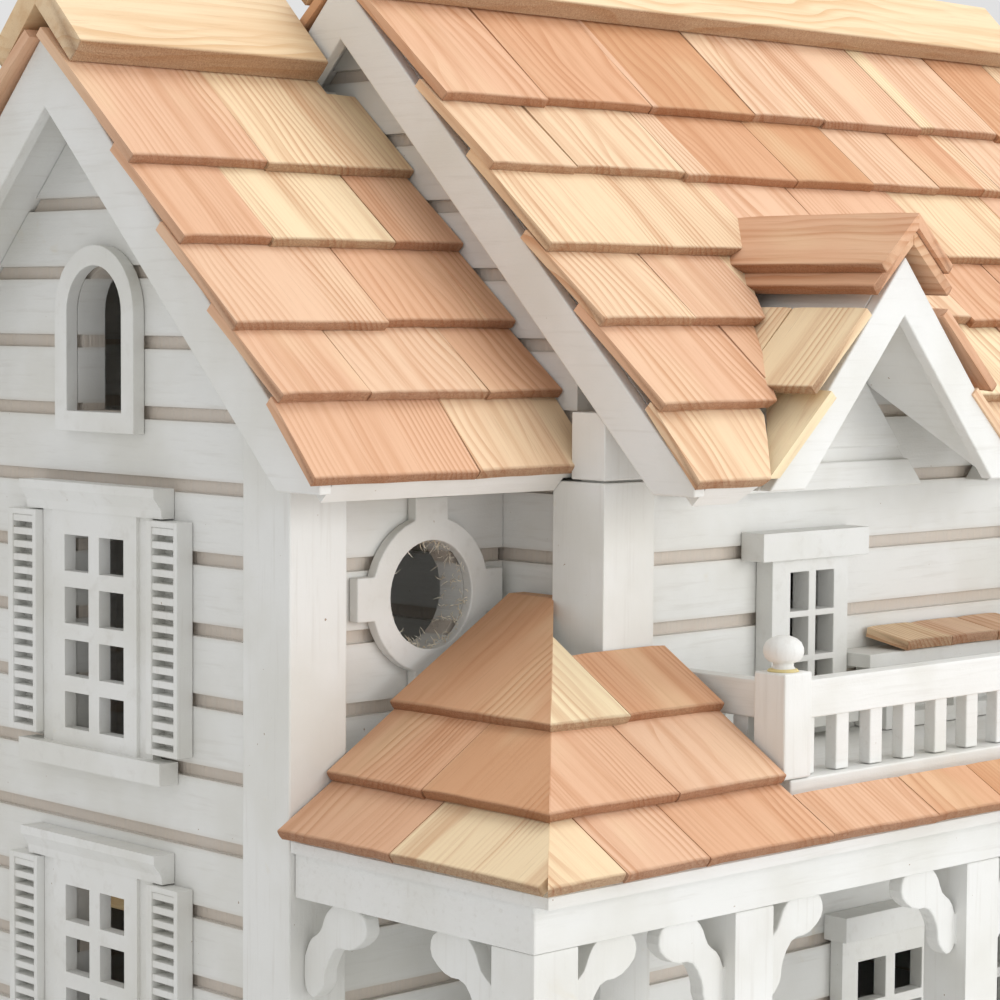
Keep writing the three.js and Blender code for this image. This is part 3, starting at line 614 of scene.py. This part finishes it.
# ---------------------------------------------------------------- porch roof
PORCH_TAN = 0.755
PORCH_HIP = 122.5
PORCH_LIFT = 152.4
BALCONY_EDGE = 127.0  # the upper courses stop here, at the balcony
beta = math.atan(PORCH_TAN)
boards = Boards(41)
porch_tails = ((-1.5, 3.9), (20.0, 5.0), (48.5, 5.0))  # distance in from the eave, lift off the boards
porch_tilts = (0.12, 0.1, 0.1)
hip_top = (P(0, 0, 229.5), Z)
hip_left = (P(0, -PORCH_HIP - 0.2, 0), Vector((1, -1, 0)).normalized())
hip_right = (P(0, -PORCH_HIP + 0.2, 0), Vector((-1, 1, 0)).normalized())
wing_face = (P(0, -0.4, 0), Y)
main_face = (P(0, -51.0, 0), Y)
# (share of the course, tone) outwards from the hip, eave course first
LEFT_LAYOUT = (
    ((0.55, 0.12), (0.45, 0.72)),
    ((0.56, 0.92), (0.44, 0.78)),
    ((1.0, 0.86),),
)
FRONT_LAYOUT = (
    ((0.27, 0.18), (0.28, 0.6), (0.45, 0.76)),
    ((0.54, 0.68), (0.46, 0.55)),
    ((0.47, 0.05), (0.53, 0.82)),
)
# left slope, rising towards the main block
up = Vector((math.cos(beta), 0, math.sin(beta)))
normal = Vector((-math.sin(beta), 0, math.cos(beta)))
for index, (run, lift) in enumerate(porch_tails):
    start = P(run, -140.0, PORCH_LIFT + PORCH_TAN * run) + normal * (lift * MM)
    reach = (27, 36, 58)[index] / math.cos(beta)
    length = reach + (10 if index < 2 else 0)
    tilt = porch_tilts[index]
    y = (16.0, 31.0, 60.0)[index]
    total = 139.4 - y
    for share, tone in LEFT_LAYOUT[index]:
        w = total * share
        boards.board(start + Y * (y * MM), Y, up, normal, w - 0.5, length, 4.0, tilt, tone=tone,
                     clips=[hip_left, wing_face, hip_top])
        y += w
# front slope, rising towards the back
up = Vector((0, math.cos(beta), math.sin(beta)))
normal = Vector((0, -math.sin(beta), math.cos(beta)))
for index, (run, lift) in enumerate(porch_tails):
    start = P(0, run - PORCH_HIP, PORCH_LIFT + PORCH_TAN * run) + normal * (lift * MM)
    reach = (27, 30, 38)[index] / math.cos(beta)
    length = reach + (8, 6, 0)[index]
    tilt = porch_tilts[index]
    x = (-8.0, 12.0, 40.0)[index]
    total = BALCONY_EDGE - x
    for share, tone in FRONT_LAYOUT[index]:
        w = total * share
        clips = [hip_right, hip_top]
        if index == 2 and x > 70:
            clips.append(main_face)
        boards.board(start + X * (x * MM), X, up, normal, w - 0.5, length, 4.0, tilt, tone=tone, clips=clips)
        x += w
    if index == 0:
        # under the balcony's edge only this course runs on
        for w in widths(boards.rng, mirrored(BALCONY_EDGE) - x, 38, 60):
            boards.board(start + X * (x * MM), X, up, normal, w - 0.5, 21.5, 4.0, tilt)
            x += w
        for w in widths(boards.rng, 493.0 - x, 30, 44):
            boards.board(start + X * (x * MM), X, up, normal, w - 0.5, length, 4.0, tilt)
            x += w
    else:
        x = mirrored(BALCONY_EDGE)
        for w in widths(boards.rng, 492.0 - x, 24, 40):
            boards.board(start + X * (x * MM), X, up, normal, w - 0.5, length, 4.0, tilt, clips=[main_face])
            x += w
boards.object("porch_shingle_boards", cedar, replaces=("porch_shingles",))


# ---------------------------------------------------------------- boxes of painted wood
def sticks(name, boxes, material, width, replaces=()):
    """Several rectangular sticks as one glued piece with softly rounded edges."""
    bm = bmesh.new()
    for x0, x1, y0, y1, z0, z1 in boxes:
        made = bmesh.ops.create_cube(bm, size=1.0)["verts"]
        low, high = P(x0, y0, z0), P(x1, y1, z1)
        bmesh.ops.scale(bm, vec=high - low, verts=made)
        bmesh.ops.translate(bm, vec=(low + high) / 2, verts=made)
    obj = object_from(bm, name)
    bevelled(obj, width * MM)
    finish_piece(obj, material, replaces=replaces)


def turned(name, profile, x, y, z, material, steps=40, ripple=0.0):
    """A turned piece about the vertical, from (radius, height) pairs."""
    bm = bmesh.new()
    rings = []
    for r, h in profile:
        if r <= 0:
            rings.append([bm.verts.new(P(x, y, z + h))])
            continue
        ring = []
        for k in range(steps):
            a = 2 * math.pi * k / steps
            dx = r * math.cos(a) * (1 + ripple * math.sin(3 * a))
            ring.append(bm.verts.new(P(x + dx, y + r * math.sin(a), z + h)))
        rings.append(ring)
    for a, b in zip(rings, rings[1:]):
        for k in range(steps):
            j = (k + 1) % steps
            if len(a) == 1:
                bm.faces.new((a[0], b[j], b[k]))
            elif len(b) == 1:
                bm.faces.new((a[k], a[j], b[0]))
            else:
                bm.faces.new((a[k], a[j], b[j], b[k]))
    bmesh.ops.recalc_face_normals(bm, faces=bm.faces)
    for f in bm.faces:
        f.smooth = True
    finish_piece(object_from(bm, name), material)


# railing: sticks between two newels, the finial turned and glued on
B_Y0, B_Z, RAIL_TOP = -104.5, 171.8, 204.5
NEWEL_X = 128.0
BALUSTER = 6.8
RAIL_DEEP = 13
FOOT, UNDER = B_Z + 0.3, RAIL_TOP - 12.8  # the balusters' ends
rail_y = B_Y0 + 3.5
wall_y = -38.6
x0 = NEWEL_X + 13.5
rail = [(x0, mirrored(x0), rail_y - 1, rail_y + 6.5, RAIL_TOP - RAIL_DEEP, RAIL_TOP)]
count = 17
length = mirrored(x0) - x0
for i in range(count):
    x = x0 + 0.2 + i * (length - 7.2) / (count - 1)
    rail.append((x, x + BALUSTER, rail_y + 0.1, rail_y + 5.2, FOOT, UNDER))
sticks("balcony_front_rail", rail, paint_rail, 0.5, replaces=("balcony_railing",))
FINIAL = [
    (0, -0.6), (3.9, -0.4), (4.3, 0.8), (3.5, 1.8), (3.6, 2.9), (5.2, 3.5), (6.4, 4.7),
    (6.95, 6.4), (6.9, 8.0), (6.0, 9.9), (4.4, 11.2), (2.3, 12.0), (0, 12.2),
]
GLUE = [(0, -0.2), (5.0, -0.15), (5.4, 0.25), (4.9, 0.8), (3.9, 1.1), (0, 1.2)]
newels = (("left", NEWEL_X, NEWEL_X + 3), ("right", mirrored(NEWEL_X + 14), mirrored(NEWEL_X + 10)))
for side, nx, rx in newels:
    y0, y1 = B_Y0 - 0.5, B_Y0 + 13.5
    posts = [(nx, nx + 14, y0, y1, FOOT, RAIL_TOP + 3.5)]
    side_rail = [(rx, rx + 7, y1, wall_y, RAIL_TOP - RAIL_DEEP, RAIL_TOP)]
    y = y1 + 6
    while y < wall_y - 10:
        side_rail.append((rx + 1, rx + 6, y, y + BALUSTER, FOOT, UNDER))
        y += 14.3
    sticks("balcony_newel_" + side, posts, paint_post, 0.7)
    sticks("balcony_side_rail_" + side, side_rail, paint_side, 0.5)
    turned("balcony_finial_" + side, FINIAL, nx + 7, B_Y0 + 6.5, RAIL_TOP + 3.5, paint_post)
    dried_glue = painted("dried_glue_" + side, UPRIGHT, tint=(226, 208, 150))
    turned("finial_glue_" + side, GLUE, nx + 7, B_Y0 + 6.5, RAIL_TOP + 3.5, dried_glue, ripple=0.05)

# shutters: a frame with thin slats
SHUTTER_WIDE = 18.3
SHUTTER_FRONT, SHUTTER_BACK = 4.7, 11.7
STOREY_DROP = 129.8
SLATS = 16
for storey, drop in (("upper", 0), ("lower", STOREY_DROP)):
    for end, y0 in (("front", 67.6), ("rear", 154.1)):
        node = "left_" + storey + "_shutter_" + end
        f0, f1 = SHUTTER_FRONT, SHUTTER_BACK
        z0, z1 = 171.5 - drop, 254.5 - drop
        w = SHUTTER_WIDE
        parts = [
            (f0, f1, y0, y0 + 2.2, z0, z1),
            (f0, f1, y0 + w - 3.2, y0 + w, z0, z1),
            (f0 + 0.1, f1, y0 + 2.0, y0 + w - 3.0, z0, z0 + 2.2),
            (f0 + 0.1, f1, y0 + 2.0, y0 + w - 3.0, z1 - 2.2, z1),
            (f1 - 1.0, f1 - 0.1, y0 + 1, y0 + w - 1, z0 + 1, z1 - 1),
        ]
        pitch = (z1 - z0 - 4.4) / SLATS
        for i in range(SLATS):
            z = z0 + 2.2 + i * pitch
            parts.append((f0 + 0.5, f1 - 0.6, y0 + 2.1, y0 + w - 3.1, z + pitch * 0.46, z + pitch * 0.98))
        sticks(node + "_slatted", parts, paint_post, 0.3, replaces=(node,))


# ---------------------------------------------------------------- brackets by the wing wall
def spline(points, steps):
    """Catmull-Rom through the given points."""
    out = []
    pts = [points[0]] + list(points) + [points[-1]]
    for i in range(1, len(pts) - 2):
        for k in range(steps):
            t = k / steps
            place = []
            for a, b, c, d in zip(*pts[i - 1:i + 3]):
                square, cube = 2 * a - 5 * b + 4 * c - d, 3 * b - a - 3 * c + d
                place.append(0.5 * (2 * b + (c - a) * t + square * t * t + cube * t ** 3))
            out.append(tuple(place))
    out.append(points[-1])
    return out


def scroll_bracket(name, place, reach_axis, side_axis):
    """Flat S-scroll cut from 6 mm board: lobes at the beam and low on the post."""
    outer = [(0, 20), (0.4, 30), (5, 33), (10, 28), (11, 22), (16, 15), (24, 14), (31, 9), (31, 3), (27, 0.3)]
    inner = [(15, 0.3), (11, 4), (8, 10), (3, 14), (0, 20)]
    loop = spline(outer, 5) + spline(inner, 5)[:-1]
    bm = bmesh.new()
    for offset in (-3 * MM, 3 * MM):
        for r, d in loop:
            bm.verts.new(place + reach_axis * (r * MM) - Z * (d * MM) + side_axis * offset)
    bm.verts.ensure_lookup_table()
    n = len(loop)
    front, back = bm.verts[:n], bm.verts[n:]
    bm.faces.new(front)
    bm.faces.new(list(back)[::-1])
    for i in range(n):
        bm.faces.new((front[i], front[(i + 1) % n], back[(i + 1) % n], back[i]))
    bmesh.ops.recalc_face_normals(bm, faces=bm.faces)
    obj = object_from(bm, name)
    bevelled(obj, 0.0006, 2, 50)
    finish_piece(obj, paint_post)


scroll_bracket("porch_wing_bracket", P(9.2, -0.4, 133.4), -Y, X)

# ---------------------------------------------------------------- carried-over pieces with softened edges
for node in ("wing_front_post", "main_front_post_left", "main_front_post_right", "porch_post_corner",
             "porch_post_left", "porch_post_mid_left", "porch_post_mid_right", "porch_post_end"):
    softened_copy(node, paint_post, 0.0007)
for node in ("left_upper_window", "left_lower_window", "front_upper_window_left", "front_upper_window_right",
             "porch_entrance_doors", "arched_window_frame", "balcony_bay"):
    softened_copy(node, paint_trim, 0.0003)
softened_copy("entry_ring", paint_trim, 0.0005)
for node in ("porch_beam", "dormer_fascia_left", "dormer_fascia_right", "dormer_tympanum_left",
             "dormer_tympanum_right", "balcony_floor"):
    softened_copy(node, paint_rail, 0.0006)
for node in ("wing_rake", "main_rake_left", "main_rake_right"):
    softened_copy(node, paint_side, 0.0006)
softened_copy("base_board", paint_rail, 0.0015)
softened_copy("cleanout_door", paint_post, 0.0006, body="door")
softened_copy("turn_button", paint_post, 0.0008, body="button")

# the bay's own little cedar roof
boards = Boards(51)
bay_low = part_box("balcony_bay_shingles")[0]
tilt_up = Vector((0, 1, 0.18)).normalized()
tilt_n = Vector((0, -0.18, 1)).normalized()
place = bay_low + Vector((0, 0, 0.0001))
for w in (27, 29, 26):
    boards.board(place.copy(), X, tilt_up, tilt_n, w - 0.4, 20.5, 3.9)
    place += X * (w * MM)
boards.object("bay_cedar_boards", cedar, replaces=("balcony_bay_shingles",))

# torn fibres round the drilled entry hole
HOLE_X, HOLE_Z, HOLE_R = 70, 230, 19.0
rng = random.Random(77)
bm = bmesh.new()
for _ in range(260):
    a = rng.uniform(0, 2 * math.pi)
    y = rng.choice((rng.uniform(8.5, 13.0), rng.uniform(12.0, 23.5)))
    length = rng.uniform(1.2, 3.6)
    centre = P(HOLE_X + HOLE_R * math.cos(a), y, HOLE_Z + HOLE_R * math.sin(a))
    inward = Vector((-math.cos(a), 0, -math.sin(a)))
    side = Vector((rng.uniform(-1, 1), rng.uniform(-0.6, 0.6), rng.uniform(-1, 1)))
    tip = centre + inward * (length * 0.45 * MM) + side.normalized() * (length * MM)
    bend = centre + inward * (length * 0.4 * MM) + side.normalized() * (length * 0.4 * MM)
    rings = []
    for point, radius in ((centre - inward * 0.0004, 0.00019), (bend, 0.00016), (tip, 0.00005)):
        rings.append([bm.verts.new(point + Vector((math.cos(t), math.sin(t), math.sin(t + 1))) * radius)
                      for t in (0, 2.1, 4.2)])
    for p, q in zip(rings, rings[1:]):
        for k in range(3):
            bm.faces.new((p[k], p[(k + 1) % 3], q[(k + 1) % 3], q[k]))
    bm.faces.new(rings[0])
    bm.faces.new(rings[-1])
bmesh.ops.recalc_face_normals(bm, faces=bm.faces)
fibres = object_from(bm, "entry_hole_fibres")
finish_piece(fibres, plain_wood("torn_fibre", (244, 238, 224), (232, 216, 188)))

# ---------------------------------------------------------------- materials of the frame's own solids
KEEP = {
    "wing_left_wall": paint_wall, "wing_front_wall": paint_wall, "wing_back_wall": paint_wing_back,
    "main_front_wall": paint_wall, "main_left_wall": paint_wall, "main_right_wall": paint_wall,
    "main_back_wall": paint_main_back, "wing_roof_boards": paint_rail, "main_roof_boards": paint_rail,
    "dormer_roof_boards_left": paint_side, "dormer_roof_boards_right": paint_side,
    "porch_roof_boards": paint_rail, "wing_nest_floor": pine_board,
    "hinge_frame_leaf": brass, "hinge_door_leaf": brass, "hinge_pin": brass, "turn_button_screw": brass,
}
for node, material in KEEP.items():
    obj = bpy.data.objects[node]
    if not obj.material_slots:
        obj.data.materials.append(material)
    for slot in obj.material_slots:
        slot.material = material

# ---------------------------------------------------------------- floor, light, camera
floor_bm = bmesh.new()
bmesh.ops.create_grid(floor_bm, x_segments=1, y_segments=1, size=6.0)
floor = object_from(floor_bm, "studio_floor")
paper = Nodes("studio_paper")
paper.bsdf.inputs["Base Color"].default_value = (0.86, 0.86, 0.86, 1)
paper.bsdf.inputs["Roughness"].default_value = 0.9
floor.data.materials.append(paper.mat)
floor.location = (0, 0, -0.0005)

world = bpy.data.worlds.new("studio")
bpy.context.scene.world = world
world.use_nodes = True
world.node_tree.nodes["Background"].inputs[0].default_value = (1, 1, 1, 1)
world.node_tree.nodes["Background"].inputs[1].default_value = 0.76


def area_light(name, place, aim, size, power):
    data = bpy.data.lights.new(name, "AREA")
    data.size = size
    data.energy = power
    obj = bpy.data.objects.new(name, data)
    bpy.context.scene.collection.objects.link(obj)
    obj.location = place
    obj.rotation_euler = (Vector(aim) - Vector(place)).to_track_quat("-Z", "Y").to_euler()


area_light("key_light", (0.6, -2.4, 0.45), (0, 0, 0.22), 1.7, 29)
area_light("top_light", (0.5, -0.4, 2.2), (0, 0, 0.2), 1.4, 15)

camera_data = bpy.data.cameras.new("photo_camera")
camera = bpy.data.objects.new("photo_camera", camera_data)
bpy.context.scene.collection.objects.link(camera)
camera_data.sensor_width = 36.0
camera_data.lens = 100.63
camera_data.clip_start = 0.05
yaw, pitch, roll = math.radians(43.607), math.radians(-3.75), math.radians(0.391)
look = Vector((math.sin(yaw) * math.cos(pitch), math.cos(yaw) * math.cos(pitch), math.sin(pitch)))
level = Vector((math.cos(yaw), -math.sin(yaw), 0))
lift = level.cross(look)
right = level * math.cos(roll) + lift * math.sin(roll)
above = -level * math.sin(roll) + lift * math.cos(roll)
camera.matrix_world = Matrix.Translation(P(-582.6, -711.9, 326.9)) @ Matrix(
    (right, above, -look)).transposed().to_4x4()
bpy.context.scene.camera = camera
bpy.context.scene.view_settings.view_transform = "Standard"
